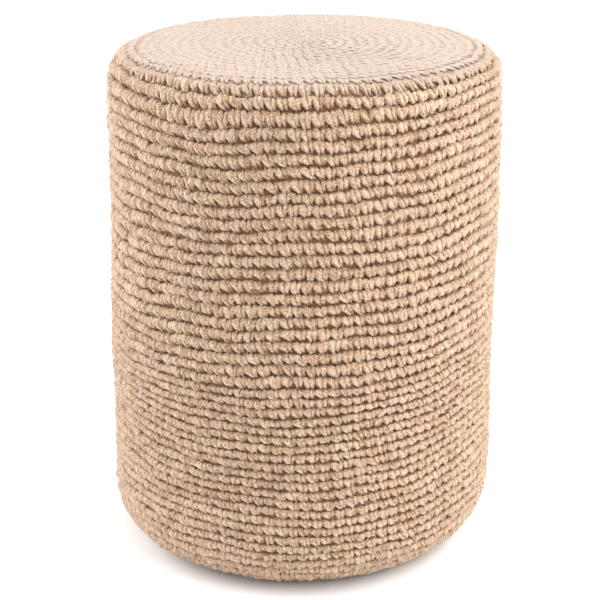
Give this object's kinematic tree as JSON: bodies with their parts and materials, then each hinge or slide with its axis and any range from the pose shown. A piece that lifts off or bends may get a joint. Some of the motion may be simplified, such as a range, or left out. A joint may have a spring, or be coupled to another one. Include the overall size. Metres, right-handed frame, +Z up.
{
  "type": "crocheted jute rope pouf",
  "caption": "Tall round filled pouf in a crocheted jute rope cover, with a flat top and a rounded base edge, used as a low seat, footrest or side table.",
  "frame": {"origin": "middle of the footprint, on the surface that the flat base rests on", "axes": "+Z up through the middle of the top; the pictured side faces -Y and its right is +X"},
  "size_m": [0.3486, 0.346, 0.45],
  "materials": {
    "jute_rope": "matt natural jute rope in close single crochet, slightly hairy"
  },
  "bodies": {
    "root": {"jute_cover": "jute_rope"}
  },
  "joints": []
}
